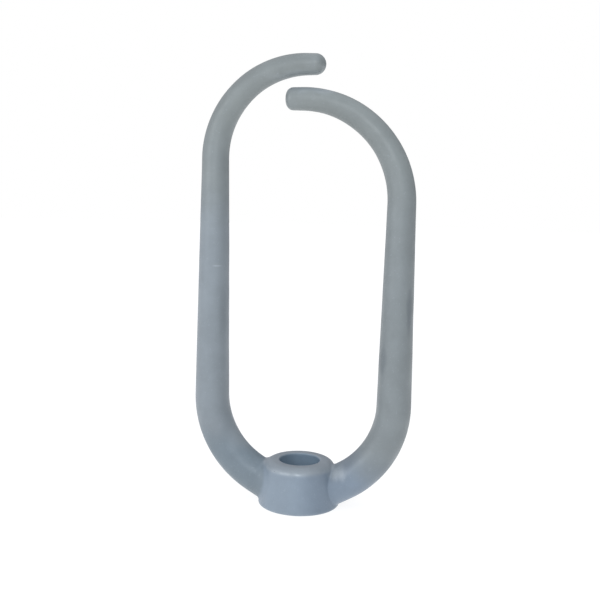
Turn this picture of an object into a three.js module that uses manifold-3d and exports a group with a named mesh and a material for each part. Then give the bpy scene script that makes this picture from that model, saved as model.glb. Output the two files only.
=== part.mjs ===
// Mixing paddle: a conical drive hub with two tapered round arms that form an open loop above it.
// Millimetres, +Z up along the drive axis, origin at the centre of the hub's base.
// The long arm is on the -X side, the short arm on the +X side and the grub screw at the back, +Y.

import * as THREE from "three";
import { mergeVertices } from "three/addons/utils/BufferGeometryUtils.js";
import Module from "manifold-3d";

// Drive hub
const HUB_HEIGHT = 29.2;
const HUB_BASE_RADIUS = 26.7;
const HUB_TOP_RADIUS = 22.3;
const HUB_RIM_ROUND = 6;
const HUB_BASE_ROUND = 1;
const BORE_RADIUS = 13;
const BORE_MOUTH_ROUND = 0.8;

// Keyed steel sleeve, seated from below in a wider counterbore
const SEAT_RADIUS = 15;
const SEAT_DEPTH = 18.5;
const SEAT_LEAD_IN = 0.6;
const SLEEVE_RADIUS = 14.85;
const SLEEVE_BORE_RADIUS = 10;
const SLEEVE_LENGTH = 17.6;
const SLEEVE_RECESS = 0.5;
const SLEEVE_CHAMFER = 0.8;
const KEYWAY_WIDTH = 6;
const KEYWAY_DEPTH = 2.8;

// Grub screw, M8 x 10 with a cup point and a 4 mm hexagon socket
const SCREW_RADIUS = 4;
const SCREW_LENGTH = 10;
const SCREW_CHAMFER = 0.7;
const SCREW_HEIGHT = 9.5;
const SCREW_POINT_Y = 13;
const CUP_RADIUS = 2.4;
const CUP_DEPTH = 1;
const SOCKET_ACROSS_FLATS = 4;
const SOCKET_DEPTH = 4;
const SCREW_HOLE_RADIUS = 4.15;
const SLEEVE_HOLE_RADIUS = 4.4;

// Arms: straight root, lower bend, upright, upper bend, straight end
const ARM_ROOT_RADIUS = 12.5;
const ARM_TIP_RADIUS = 7;
const ARM_REACH = 60;
const ROOT_START_X = 9.6;
const ROOT_START_Z = 6.3;
const ROOT_CORNER_Z = 33.6;
const LOWER_BEND_RADIUS = 60;
const LONG_ARM_BEND_RADIUS = 58.5;
const LONG_ARM_TOP_Z = 281.4;
const LONG_ARM_PAST_AXIS = 3.1;
const LONG_TIP_ROUND = 7;
const SHORT_ARM_BEND_RADIUS = 64;
const SHORT_ARM_TOP_Z = 260.3;
const SHORT_ARM_PAST_AXIS = 7.6;
const SHORT_TIP_ROUND = 4.6;

// Spigots of the arms in the hub, and the welds round the joints
const SPIGOT_RADIUS = 6;
const SPIGOT_DEPTH = 5.5;
const SPIGOT_OVERLAP = 6;
const LONG_ARM_CROTCH_LEG = 2;
const LONG_ARM_FLANK_LEG = 8;
const SHORT_ARM_CROTCH_LEG = 1.8;
const SHORT_ARM_FLANK_LEG = 3;
const WELD_HOLLOW = 0.22;
const WELD_LOWEST_Z = 0.9;
const WELD_HIGHEST_Z = 28.5;
const WELD_SLICES = 36;

// Clearance between pieces that lie against each other, and extra length of cutting tools
const GAP = 0.3;
const OVERCUT = 2;

// Facets
const HUB_SIDES = 64;
const ARM_SIDES = 28;
const SCREW_SIDES = 32;
const BEND_STEP = THREE.MathUtils.degToRad(6);
const ROUND_STEPS = 6;

const wasm = await Module();
wasm.setup();

// Finishes

const castAluminium = new THREE.MeshStandardMaterial({ color: 0x8f999f, roughness: 0.55, metalness: 0.35 });
const weldMetal = new THREE.MeshStandardMaterial({ color: 0x8b969d, roughness: 0.6, metalness: 0.35 });
const turnedSteel = new THREE.MeshStandardMaterial({ color: 0x70757a, roughness: 0.35, metalness: 0.9 });
const blackenedSteel = new THREE.MeshStandardMaterial({ color: 0x2e3033, roughness: 0.45, metalness: 0.8 });

// Solids: a closed three.js geometry becomes a manifold for cuts and joins, and the result goes back.

function toSolid(geometry) {
  const bare = geometry.clone();
  bare.deleteAttribute("normal");
  bare.deleteAttribute("uv");
  const merged = mergeVertices(bare, 1e-4);
  const corners = merged.index.array;
  const triangles = [];
  for (let i = 0; i < corners.length; i += 3) {
    const [a, b, c] = corners.slice(i, i + 3);
    if (a !== b && b !== c && c !== a) {
      triangles.push(a, b, c);
    }
  }
  const mesh = new wasm.Mesh({
    numProp: 3,
    vertProperties: merged.attributes.position.array,
    triVerts: Uint32Array.from(triangles),
  });
  return new wasm.Manifold(mesh);
}

function toGeometry(solid) {
  const mesh = solid.getMesh();
  const geometry = new THREE.BufferGeometry();
  geometry.setAttribute("position", new THREE.BufferAttribute(mesh.vertProperties, 3));
  geometry.setIndex(new THREE.BufferAttribute(mesh.triVerts, 1));
  geometry.computeVertexNormals();
  return geometry;
}

function namedMesh(name, solid, material) {
  const mesh = new THREE.Mesh(toGeometry(solid), material);
  mesh.name = name;
  return mesh;
}

// Profiles are lists of [radius, height, corner round]; a round corner becomes a short arc.

function roundedProfile(corners) {
  const points = [];
  corners.forEach(([radius, height, round = 0], i) => {
    const corner = new THREE.Vector2(radius, height);
    if (round === 0) {
      points.push(corner);
      return;
    }
    const towards = (other) => new THREE.Vector2(other[0], other[1]).sub(corner).normalize();
    const before = towards(corners[i - 1]);
    const after = towards(corners[i + 1]);
    const half = Math.acos(before.dot(after)) / 2;
    const centre = before.clone().add(after).setLength(round / Math.sin(half)).add(corner);
    const start = before.multiplyScalar(round / Math.tan(half)).add(corner).sub(centre);
    const end = after.multiplyScalar(round / Math.tan(half)).add(corner).sub(centre);
    const turn = Math.atan2(start.cross(end), start.dot(end));
    for (let step = 0; step <= ROUND_STEPS; step += 1) {
      const spoke = start.clone().rotateAround(new THREE.Vector2(), (turn * step) / ROUND_STEPS);
      points.push(spoke.add(centre));
    }
  });
  return points;
}

function turned(corners, sides) {
  const geometry = new THREE.LatheGeometry(roundedProfile(corners), sides);
  return geometry.rotateX(Math.PI / 2);
}

// Round bar from start along a direction, used for spigots, sockets and the screw's holes

function roundBar(radius, length, start, direction, sides) {
  const geometry = new THREE.CylinderGeometry(radius, radius, length, sides);
  geometry.translate(0, length / 2, 0);
  const turn = new THREE.Quaternion().setFromUnitVectors(new THREE.Vector3(0, 1, 0), direction);
  return geometry.applyQuaternion(turn).translate(start.x, start.y, start.z);
}

// Arm centreline, in the XZ plane on the +X side

const rootRun = new THREE.Vector2(ARM_REACH - ROOT_START_X, ROOT_CORNER_Z - ROOT_START_Z);
const rootSlope = rootRun.angle();
const lowerTurn = Math.PI / 2 - rootSlope;
const lowerTangent = LOWER_BEND_RADIUS * Math.tan(lowerTurn / 2);

function armLegs(topZ, upperBend, pastAxis) {
  const uprightLength = topZ - upperBend - ROOT_CORNER_Z - lowerTangent;
  const endLength = ARM_REACH - upperBend + pastAxis;
  return [
    { length: rootRun.length() - lowerTangent, turn: 0 },
    { length: LOWER_BEND_RADIUS * lowerTurn, turn: lowerTurn },
    { length: uprightLength, turn: 0 },
    { length: (upperBend * Math.PI) / 2, turn: Math.PI / 2 },
    { length: endLength, turn: 0 },
  ];
}

function armLength(legs) {
  return legs.reduce((sum, leg) => sum + leg.length, 0);
}

// Point and heading at a distance along the legs; past the last leg the line runs straight on.

function centrelineAt(legs, distance) {
  let { x, z, heading } = { x: ROOT_START_X, z: ROOT_START_Z, heading: rootSlope };
  let left = distance;
  legs.forEach((leg, i) => {
    const run = i === legs.length - 1 ? left : Math.min(left, leg.length);
    const turn = leg.length > 0 ? (leg.turn * run) / leg.length : 0;
    const chord = turn === 0 ? run : (2 * run * Math.sin(turn / 2)) / turn;
    x += chord * Math.cos(heading + turn / 2);
    z += chord * Math.sin(heading + turn / 2);
    heading += turn;
    left -= run;
  });
  return { x, z, heading };
}

// Point on a ring round the centreline: angle 0 is the loop's inner side, a quarter turn is +Y.

function ringPoint(legs, distance, radius, angle) {
  const { x, z, heading } = centrelineAt(legs, distance);
  const inward = radius * Math.cos(angle);
  return new THREE.Vector3(
    x - inward * Math.sin(heading),
    radius * Math.sin(angle),
    z + inward * Math.cos(heading),
  );
}

function barRadius(legs, distance) {
  return THREE.MathUtils.mapLinear(distance, 0, armLength(legs), ARM_ROOT_RADIUS, ARM_TIP_RADIUS);
}

// Distances along the bar where it needs a ring: leg ends and even steps round each bend

function barStations(legs) {
  const stations = [0];
  for (const leg of legs) {
    const steps = Math.max(1, Math.ceil(leg.turn / BEND_STEP));
    const start = stations.at(-1);
    for (let step = 1; step <= steps; step += 1) {
      stations.push(start + (leg.length * step) / steps);
    }
  }
  return stations;
}

// Lays a lathe's rings, point by point, where place says; lathe columns run round the ring from +Y.

function laidLathe(profile, sides, place) {
  const geometry = new THREE.LatheGeometry(profile, sides);
  const position = geometry.attributes.position;
  for (let i = 0; i < position.count; i += 1) {
    const row = i % profile.length;
    const column = Math.floor(i / profile.length) % sides;
    const angle = Math.PI / 2 - (2 * Math.PI * column) / sides;
    const spot = place(profile[row], angle);
    position.setXYZ(i, spot.x, spot.y, spot.z);
  }
  return geometry;
}

function taperedBar(legs, tipRound) {
  const length = armLength(legs);
  const corners = barStations(legs).map((distance) => [barRadius(legs, distance), distance]);
  corners.pop();
  corners.unshift([0, 0]);
  corners.push([ARM_TIP_RADIUS, length + ARM_TIP_RADIUS, tipRound]);
  corners.push([0, length + ARM_TIP_RADIUS]);
  const profile = roundedProfile(corners);
  const place = (point, angle) => ringPoint(legs, point.y, point.x, angle);
  return laidLathe(profile, ARM_SIDES, place);
}

// Hub

const hubTaper = Math.atan((HUB_BASE_RADIUS - HUB_TOP_RADIUS) / HUB_HEIGHT);
const rimCentreZ = HUB_HEIGHT - HUB_RIM_ROUND;
const rimCentreRadius = coneRadiusAt(rimCentreZ) - HUB_RIM_ROUND / Math.cos(hubTaper);

function coneRadiusAt(z) {
  return THREE.MathUtils.mapLinear(z, 0, HUB_HEIGHT, HUB_BASE_RADIUS, HUB_TOP_RADIUS);
}

// Radius of the hub's outside at a height: the cone, and above it the rim's round

function hubRadiusAt(z) {
  const rise = z - rimCentreZ;
  if (rise < HUB_RIM_ROUND * Math.sin(hubTaper)) {
    return coneRadiusAt(z);
  }
  return rimCentreRadius + Math.sqrt(Math.max(0, HUB_RIM_ROUND ** 2 - rise ** 2));
}

function hubBlank(grow) {
  const corners = [
    [0, -grow],
    [HUB_BASE_RADIUS + grow, -grow, HUB_BASE_ROUND],
    [HUB_TOP_RADIUS + grow, HUB_HEIGHT + grow, HUB_RIM_ROUND],
    [0, HUB_HEIGHT + grow],
  ];
  return toSolid(turned(corners, HUB_SIDES));
}

function hubBore() {
  const corners = [
    [0, -OVERCUT],
    [SEAT_RADIUS + SEAT_LEAD_IN + OVERCUT, -OVERCUT],
    [SEAT_RADIUS, SEAT_LEAD_IN],
    [SEAT_RADIUS, SEAT_DEPTH],
    [BORE_RADIUS, SEAT_DEPTH],
    [BORE_RADIUS, HUB_HEIGHT, BORE_MOUTH_ROUND],
    [BORE_RADIUS + BORE_MOUTH_ROUND, HUB_HEIGHT],
    [BORE_RADIUS + BORE_MOUTH_ROUND, HUB_HEIGHT + OVERCUT],
    [0, HUB_HEIGHT + OVERCUT],
  ];
  return toSolid(turned(corners, HUB_SIDES));
}

// Distance along the root line at which the arm's axis comes out of the hub's cone

function rootExit(legs) {
  let [inside, outside] = [0, ARM_REACH];
  for (let pass = 0; pass < 40; pass += 1) {
    const middle = (inside + outside) / 2;
    const { x, z } = centrelineAt(legs, middle);
    [inside, outside] = x < hubRadiusAt(z) ? [middle, outside] : [inside, middle];
  }
  return inside;
}

const longLegs = armLegs(LONG_ARM_TOP_Z, LONG_ARM_BEND_RADIUS, LONG_ARM_PAST_AXIS);
const shortLegs = armLegs(SHORT_ARM_TOP_Z, SHORT_ARM_BEND_RADIUS, SHORT_ARM_PAST_AXIS);
const spigotEnd = rootExit(shortLegs) - SPIGOT_DEPTH;

// The spigot, or with a clearance the socket that takes it, on the +X side

function spigotBar(clearance) {
  const start = spigotEnd - clearance;
  const { x, z } = centrelineAt(shortLegs, start);
  const direction = new THREE.Vector3(Math.cos(rootSlope), 0, Math.sin(rootSlope));
  const length = SPIGOT_DEPTH + SPIGOT_OVERLAP;
  return roundBar(SPIGOT_RADIUS + clearance, length, { x, y: 0, z }, direction, SCREW_SIDES);
}

function screwHole(radius) {
  const inward = new THREE.Vector3(0, -1, 0);
  const start = { x: 0, y: HUB_BASE_RADIUS + OVERCUT, z: SCREW_HEIGHT };
  return toSolid(roundBar(radius, HUB_BASE_RADIUS + OVERCUT, start, inward, SCREW_SIDES));
}

function hub() {
  const shortSocket = toSolid(spigotBar(GAP));
  const longSocket = toSolid(spigotBar(GAP).rotateZ(Math.PI));
  const body = hubBlank(0)
    .subtract(hubBore())
    .subtract(shortSocket)
    .subtract(longSocket)
    .subtract(screwHole(SCREW_HOLE_RADIUS));
  return namedMesh("hub", body, castAluminium);
}

function shaftSleeve() {
  const top = SLEEVE_RECESS + SLEEVE_LENGTH;
  const corners = [
    [SLEEVE_BORE_RADIUS + SLEEVE_CHAMFER, SLEEVE_RECESS],
    [SLEEVE_RADIUS - SLEEVE_CHAMFER, SLEEVE_RECESS],
    [SLEEVE_RADIUS, SLEEVE_RECESS + SLEEVE_CHAMFER],
    [SLEEVE_RADIUS, top - SLEEVE_CHAMFER],
    [SLEEVE_RADIUS - SLEEVE_CHAMFER, top],
    [SLEEVE_BORE_RADIUS + SLEEVE_CHAMFER, top],
    [SLEEVE_BORE_RADIUS, top - SLEEVE_CHAMFER],
    [SLEEVE_BORE_RADIUS, SLEEVE_RECESS + SLEEVE_CHAMFER],
    [SLEEVE_BORE_RADIUS + SLEEVE_CHAMFER, SLEEVE_RECESS],
  ];
  const keyway = new THREE.BoxGeometry(KEYWAY_WIDTH, SLEEVE_BORE_RADIUS + KEYWAY_DEPTH, HUB_HEIGHT * 2);
  keyway.translate(0, (SLEEVE_BORE_RADIUS + KEYWAY_DEPTH) / 2, 0);
  const body = toSolid(turned(corners, HUB_SIDES))
    .subtract(toSolid(keyway))
    .subtract(screwHole(SLEEVE_HOLE_RADIUS));
  return namedMesh("shaft_sleeve", body, turnedSteel);
}

// The screw is turned about Z with its cup point at the bottom, then laid along +Y.

function grubScrew() {
  const corners = [
    [0, CUP_DEPTH],
    [CUP_RADIUS, 0],
    [SCREW_RADIUS - SCREW_CHAMFER, 0],
    [SCREW_RADIUS, SCREW_CHAMFER],
    [SCREW_RADIUS, SCREW_LENGTH - SCREW_CHAMFER],
    [SCREW_RADIUS - SCREW_CHAMFER, SCREW_LENGTH],
    [0, SCREW_LENGTH],
  ];
  const socketRadius = SOCKET_ACROSS_FLATS / Math.sqrt(3);
  const socket = new THREE.CylinderGeometry(socketRadius, socketRadius, SOCKET_DEPTH + OVERCUT, 6);
  socket.rotateX(Math.PI / 2);
  socket.translate(0, 0, SCREW_LENGTH - SOCKET_DEPTH + (SOCKET_DEPTH + OVERCUT) / 2);
  const body = toSolid(turned(corners, SCREW_SIDES)).subtract(toSolid(socket));
  const mesh = namedMesh("grub_screw", body, blackenedSteel);
  mesh.rotation.x = -Math.PI / 2;
  mesh.position.set(0, SCREW_POINT_Y, SCREW_HEIGHT);
  return mesh;
}

// An arm is made on the +X side: its root is saddled to the hub's cone and keeps only the spigot inside.
// The saddle cutter reaches below the hub, because the thick root starts lower than the hub's base.

function saddleCutter() {
  const up = new THREE.Vector3(0, 0, 1);
  const start = { x: 0, y: 0, z: -ARM_ROOT_RADIUS };
  const below = roundBar(HUB_BASE_RADIUS + GAP, ARM_ROOT_RADIUS + HUB_BASE_ROUND, start, up, HUB_SIDES);
  return hubBlank(GAP).add(toSolid(below));
}

function arm(name, legs, tipRound) {
  const bar = toSolid(taperedBar(legs, tipRound));
  const body = bar.subtract(saddleCutter()).add(toSolid(spigotBar(0)));
  return namedMesh(name, body, castAluminium);
}

// Moves a point level with the hub's outside onto that outside, with the clearance.

function ontoHub(point) {
  const z = THREE.MathUtils.clamp(point.z, WELD_LOWEST_Z, WELD_HIGHEST_Z);
  const scale = (hubRadiusAt(z) + GAP) / Math.hypot(point.x, point.y);
  return new THREE.Vector3(point.x * scale, point.y * scale, z);
}

// Weld fillet: a ring with a hollow-faced triangular section that follows the saddle between arm and hub.
// It is narrow in the crotches above and below the arm and widens towards the arm's flanks.
// The section's corners, in order, are the rows of a lathe that is laid round the joint.

function weldSection(legs, crotchLeg, flankLeg, angle) {
  const leg = THREE.MathUtils.lerp(crotchLeg, flankLeg, Math.sin(angle) ** 2);
  const onBar = (distance) => ringPoint(legs, distance, barRadius(legs, distance) + GAP, angle);
  let [inside, outside] = [0, ARM_REACH / 2];
  for (let pass = 0; pass < 40; pass += 1) {
    const middle = (inside + outside) / 2;
    const spot = onBar(middle);
    const beyond = Math.hypot(spot.x, spot.y) - hubRadiusAt(spot.z) - GAP;
    [inside, outside] = beyond < 0 ? [middle, outside] : [inside, middle];
  }
  const corner = onBar(inside);
  const armToe = onBar(inside + leg);
  const centre = centrelineAt(legs, inside);
  const outward = corner.clone().sub(new THREE.Vector3(centre.x, 0, centre.z)).normalize();
  const hubToe = ontoHub(corner.clone().addScaledVector(outward, leg));
  const hubMiddle = ontoHub(corner.clone().lerp(hubToe, 0.5));
  const face = armToe.clone().lerp(hubToe, 0.5).lerp(corner, WELD_HOLLOW);
  return [corner, hubMiddle, hubToe, face, armToe, corner];
}

function weld(name, legs, crotchLeg, flankLeg) {
  const rows = [0, 1, 2, 3, 4, 5].map((corner) => new THREE.Vector2(1, corner));
  const place = (row, angle) => weldSection(legs, crotchLeg, flankLeg, angle)[row.y];
  const ring = laidLathe(rows, WELD_SLICES, place);
  return namedMesh(name, toSolid(ring), weldMetal);
}

// Assembly: the long arm and its weld are turned half round to the -X side.

const longSide = new THREE.Group();
longSide.rotation.z = Math.PI;
longSide.add(arm("long_arm", longLegs, LONG_TIP_ROUND));
longSide.add(weld("long_arm_weld", longLegs, LONG_ARM_CROTCH_LEG, LONG_ARM_FLANK_LEG));

const shortSide = new THREE.Group();
shortSide.add(arm("short_arm", shortLegs, SHORT_TIP_ROUND));
shortSide.add(weld("short_arm_weld", shortLegs, SHORT_ARM_CROTCH_LEG, SHORT_ARM_FLANK_LEG));

const paddle = new THREE.Group();
paddle.add(hub(), shaftSleeve(), grubScrew(), longSide, shortSide);

export default paddle;
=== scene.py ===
import math

import bmesh
import bpy
from mathutils import Matrix, Vector, noise


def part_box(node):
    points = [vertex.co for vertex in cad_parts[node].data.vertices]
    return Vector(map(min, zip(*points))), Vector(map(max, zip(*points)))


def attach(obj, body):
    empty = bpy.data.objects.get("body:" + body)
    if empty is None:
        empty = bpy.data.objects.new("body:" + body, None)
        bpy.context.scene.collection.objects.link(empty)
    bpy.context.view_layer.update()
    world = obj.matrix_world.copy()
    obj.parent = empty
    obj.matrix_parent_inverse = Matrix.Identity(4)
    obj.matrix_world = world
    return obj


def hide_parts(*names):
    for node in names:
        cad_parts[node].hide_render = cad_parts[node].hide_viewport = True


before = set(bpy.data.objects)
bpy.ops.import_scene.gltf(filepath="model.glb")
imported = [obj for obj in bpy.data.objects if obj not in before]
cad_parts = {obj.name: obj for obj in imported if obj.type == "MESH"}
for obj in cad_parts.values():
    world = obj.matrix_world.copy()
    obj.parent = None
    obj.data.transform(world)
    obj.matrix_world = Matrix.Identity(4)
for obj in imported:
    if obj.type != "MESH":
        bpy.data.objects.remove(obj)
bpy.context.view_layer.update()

bl_info = {
    "name": "Mixing Paddle",
    "version": (1, 0, 0),
    "blender": (4, 5, 0),
    "location": "3D View > Sidebar > Paddle",
    "description": "Makes the fine surfaces of a two-armed mixing paddle round its packed frame",
    "category": "Add Mesh",
}

MM = 0.001
PADDLE_BODY = "paddle"
SCREW_BODY = "set_screw"
OVERCUT = 2 * MM  # how far a cutter runs past what it cuts
SINK = 0.1 * MM  # how deep a fillet's edges lie in the hub and the arm

# Places that the frame gives, in metres
hub_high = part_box("hub")[1]
sleeve_low, sleeve_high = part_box("shaft_sleeve")
screw_low, screw_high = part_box("grub_screw")
long_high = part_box("long_arm")[1]
short_low, short_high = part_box("short_arm")
screw_length = screw_high.y - screw_low.y
screw_radius = (screw_high.x - screw_low.x) / 2
screw_height = (screw_low.z + screw_high.z) / 2

# Where the cast skin's tones, painted light and shade among them, give way to each other: start and end of
# each soft change, in metres
LONG_ROOT_ENDS = (0.024, 0.05)
SHORT_ROOT_ENDS = (0.01, 0.045)
ARMS_MEET = (-0.03, 0.03)
CROWN_TONE_STARTS = (0.16, 0.25)
HUB_SIDES_MEET = (-0.006, 0.018)
HUB_TOP_STARTS = (0.0238, 0.0272)
BORE_ENDS = (0.0131, 0.0140)
ABOVE_HUB = (0.034, 0.045)
OFF_THE_CONE = (0.15 * MM, 2 * MM)

# Where the bends are painted lighter on one side and darker on the other: painted light and shade
LOOP_CENTRE = (0, 0, 0.15)
LOWER_BEND_ENDS = (0.040, 0.072)
LOWER_BEND_SIDE = (-0.035, -0.010)
CROWN_STARTS = (0.19, 0.235)
CROWN_LEFT_ENDS = (-0.060, -0.035)
CROWN_RIGHT_STARTS = (-0.035, 0.02)

# Faint marks on the cast skin: colour, centre, reach along each axis, and strength. Three of the lighter
# marks are painted light and highlights, not wear.
MARKS = (
    ("smudge", (0.0681, -0.0065, 0.1285), (0.0034, 0.0042, 0.021), 0.65),
    ("smudge", (0.0525, -0.0068, 0.0995), (0.0042, 0.006, 0.011), 0.5),
    ("smudge", (-0.0515, -0.007, 0.118), (0.005, 0.006, 0.022), 0.25),
    ("worn_and_painted_light", (-0.0554, -0.0080, 0.1545), (0.004, 0.005, 0.0009), 0.5),
    # Painted highlight: a lighter patch on the short arm's root where the light catches it
    ("worn_and_painted_light", (0.0262, -0.0085, 0.0245), (0.010, 0.009, 0.008), 0.6),
    ("worn_and_painted_light", (-0.0405, -0.003, 0.042), (0.010, 0.012, 0.018), 0.25),
    # Painted light: lightens the top of the short arm's tip, which lies in the shade of the long arm's tip
    ("worn_and_painted_light", (0.006, -0.003, 0.2675), (0.032, 0.012, 0.007), 0.5),
    # Painted light: lightens the shaded underside of the long arm's tip
    ("worn_and_painted_light", (-0.006, -0.003, 0.2740), (0.030, 0.012, 0.005), 0.3),
)


# Settings

def metres(name, description, default):
    """A length that a user may change"""
    return bpy.props.FloatProperty(name=name, description=description, default=default, unit="LENGTH")


def degrees(name, description, default):
    """An angle that a user may change"""
    return bpy.props.FloatProperty(
        name=name, description=description, default=math.radians(default), unit="ROTATION")


def tint(name, description, default):
    """A surface colour that a user may change"""
    return bpy.props.FloatVectorProperty(
        name=name, description=description, subtype="COLOR", size=3, default=default)


def light_colour(name, description, default):
    """A light's colour and strength that a user may change"""
    return bpy.props.FloatVectorProperty(
        name=name, description=description, subtype="COLOR", size=3, default=default, min=0, soft_max=4)


class HubSettings(bpy.types.PropertyGroup):
    """Sizes of the drive hub"""
    base_radius: metres("Base radius", "Radius of the cone at the hub's base", 26.7 * MM)
    top_radius: metres(
        "Top radius", "Radius of the cone at the hub's top, before its rim is rounded", 22.3 * MM)
    height: metres("Height", "Height of the hub", hub_high.z)
    rim_round: metres("Rim round", "Radius of the rounded upper rim", 6 * MM)
    base_round: metres("Base round", "Radius of the rounded lower edge", 1.1 * MM)
    bore_radius: metres("Bore radius", "Radius of the through bore", 13.1 * MM)
    mouth_round: metres("Mouth round", "Rounding of the bore's upper mouth", 1.2 * MM)
    seat_radius: metres("Seat radius", "Radius of the counterbore that takes the sleeve", 15 * MM)
    seat_depth: metres("Seat depth", "Depth of the counterbore from the base", sleeve_high.z + 0.4 * MM)
    screw_hole_radius: metres(
        "Screw hole radius", "Radius of the hole that takes the grub screw", 4.08 * MM)


class ArmSettings(bpy.types.PropertyGroup):
    """Sizes of the two arms"""
    root_radius: metres("Root radius", "Radius of an arm where its line starts", 12.5 * MM)
    tip_radius: metres("Tip radius", "Radius of an arm at its tip", 7 * MM)
    reach: metres("Reach", "Distance from the drive axis to an upright's axis", 60 * MM)
    root_start: bpy.props.FloatVectorProperty(
        name="Root start", description="Distance from the axis and height at which an arm's line starts",
        size=2, default=(9.6 * MM, 6.3 * MM), unit="LENGTH")
    root_corner: metres("Root corner", "Height at which root line and upright would meet", 33.6 * MM)
    lower_bend: metres("Lower bend", "Radius of the lower bend", 60 * MM)
    long_bend: metres("Long arm bend", "Radius of the long arm's upper bend", 58.5 * MM)
    short_bend: metres("Short arm bend", "Radius of the short arm's upper bend", 64 * MM)
    hidden_root: metres(
        "Hidden root", "Start of the modelled bar along the line, inside the hub's wall", 12 * MM)
    long_round: metres("Long tip round", "Rounding of the long arm's tip", 6.45 * MM)
    short_round: metres("Short tip round", "Rounding of the short arm's tip", 4.6 * MM)
    long_thinning: metres("Long tip thinning", "How much thinner the long arm's tip is", 0.5 * MM)
    thinning_reach: metres("Thinning reach", "Distance from the tip over which it thins", 70 * MM)
    waviness: metres("Waviness", "Depth of the slow unevenness of the cast bars", 0.5 * MM)
    sides: bpy.props.IntProperty(
        name="Sides", description="Faces round an arm", default=64, min=12)


class WeldSettings(bpy.types.PropertyGroup):
    """Sizes of the fillets at the arms' roots"""
    long_crotch: metres("Long arm crotch", "Width of the long arm's fillet above and below the arm", 2 * MM)
    long_flank: metres("Long arm flank", "Width of the long arm's fillet on the arm's flanks", 10 * MM)
    short_crotch: metres(
        "Short arm crotch", "Width of the short arm's fillet above and below the arm", 1.8 * MM)
    short_flank: metres("Short arm flank", "Width of the short arm's fillet on the arm's flanks", 1.6 * MM)
    slices: bpy.props.IntProperty(
        name="Slices", description="Sections round a fillet", default=144, min=24)


class SmallPartSettings(bpy.types.PropertyGroup):
    """Sizes of the sleeve and the grub screw"""
    sleeve_bore: metres("Sleeve bore", "Radius of the sleeve's bore", 10 * MM)
    sleeve_chamfer: metres("Sleeve chamfer", "Chamfer on the sleeve's edges", 0.8 * MM)
    keyway_width: metres("Keyway width", "Width of the keyway", 6 * MM)
    keyway_depth: metres("Keyway depth", "Depth of the keyway", 2.8 * MM)
    thread_pitch: metres("Thread pitch", "Pitch of the grub screw's thread", 1.25 * MM)
    thread_height: metres("Thread height", "Height of the thread above the screw's core", 0.62 * MM)
    socket_flats: metres("Socket", "Width of the hexagon socket across its flats", 4 * MM)
    socket_depth: metres("Socket depth", "Depth of the hexagon socket", 4 * MM)


class FinishSettings(bpy.types.PropertyGroup):
    """Colours of the finishes"""
    # The casting tones were fitted zone by zone to how the lit paddle looks, so besides the metal's colour
    # they hold painted light and shade; the hub's blue tint is partly a painted reflection of bluish light.
    cast_hub: tint("Casting, hub", "Cast skin on the hub", (0.181, 0.223, 0.266))
    # Painted shade: a darker copy of the hub's tone, on its right side away from the light and on the short
    # arm's root
    right_side_shade: tint("Casting, hub's right", "Cast skin on the hub's right side", (0.148, 0.188, 0.234))
    # Painted light: the ring round the bore is lighter and less blue where light falls on it from above
    top_ring_light: tint("Casting, hub's top", "Cast skin on the ring round the bore", (0.228, 0.260, 0.287))
    # Painted shade: a bluer tone for the bore's wall, set to the shade inside the bore
    bore_shade_tone: tint("Casting, bore", "Colour of the bore's wall", (0.165, 0.228, 0.290))
    # Darker on the long arm's root and lower bend: partly the metal's own tone, partly painted shade
    root_tone_and_shade: tint("Casting, root", "Cast skin on the long arm's lower bend", (0.141, 0.176, 0.202))
    cast_long: tint("Casting, long arm", "Cast skin on the long arm", (0.183, 0.210, 0.230))
    cast_short: tint("Casting, short arm", "Cast skin on the short arm", (0.167, 0.188, 0.194))
    # Painted shade: the crown's tone is darkened where the key light falls on it
    crown_tone_and_shade: tint("Casting, crown", "Cast skin on the upper bends", (0.175, 0.195, 0.194))
    # Also the colour of painted highlights and painted light: the hub's rim band and three of the larger
    # marks
    worn_and_painted_light: tint("Worn edge", "Colour where handling has polished an edge", (0.30, 0.335, 0.36))
    smudge: tint("Smudge", "Colour of the darker marks", (0.10, 0.118, 0.13))
    steel: tint("Steel", "Colour of the turned steel sleeve", (0.42, 0.43, 0.45))
    blackened: tint("Blackened steel", "Colour of the grub screw", (0.03, 0.031, 0.034))


class StageSettings(bpy.types.PropertyGroup):
    """Camera, floor and lights"""
    azimuth: degrees("Azimuth", "Camera's turn round the paddle", 10.64)
    elevation: degrees("Elevation", "Camera's downward tilt", 6.87)
    roll: degrees("Roll", "Camera's roll", 1.5)
    distance: metres("Distance", "Distance from camera to target", 0.54)
    target_side: metres("Target side", "Target's place to the camera's right of the drive axis", -2.53 * MM)
    target_height: metres("Target height", "Target's height above the base", 134.08 * MM)
    lens: bpy.props.FloatProperty(
        name="Lens", description="Focal length", default=50.55, unit="CAMERA")
    floor_radius: metres("Floor radius", "Radius of the pale floor", 6.0)
    light_left: light_colour("Left light", "Soft light from the left", (0.95, 0.95, 1.01))
    light_right: light_colour("Right light", "Soft light from the right", (0.24, 0.24, 0.24))
    light_front: light_colour("Front light", "Soft light from the front", (1.16, 1.25, 1.37))
    light_back: light_colour("Back light", "Soft light from the back", (0.30, 0.30, 0.32))
    light_top: light_colour("Top light", "Soft light from above", (1.12, 1.14, 1.20))
    floor_glow: light_colour("Floor glow", "Light that the floor gives back", (1.33, 1.35, 1.39))
    lamp_power: bpy.props.FloatProperty(
        name="Lamp", description="Power of the small lamp that gives the highlights", default=2.4,
        unit="POWER")
    key_power: bpy.props.FloatProperty(
        name="Key light", description="Power of the broad soft light from the upper left", default=3.7,
        unit="POWER")


SETTINGS = {
    "paddle_hub": HubSettings,
    "paddle_arm": ArmSettings,
    "paddle_weld": WeldSettings,
    "paddle_small": SmallPartSettings,
    "paddle_finish": FinishSettings,
    "paddle_stage": StageSettings,
}


# Node helpers

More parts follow.
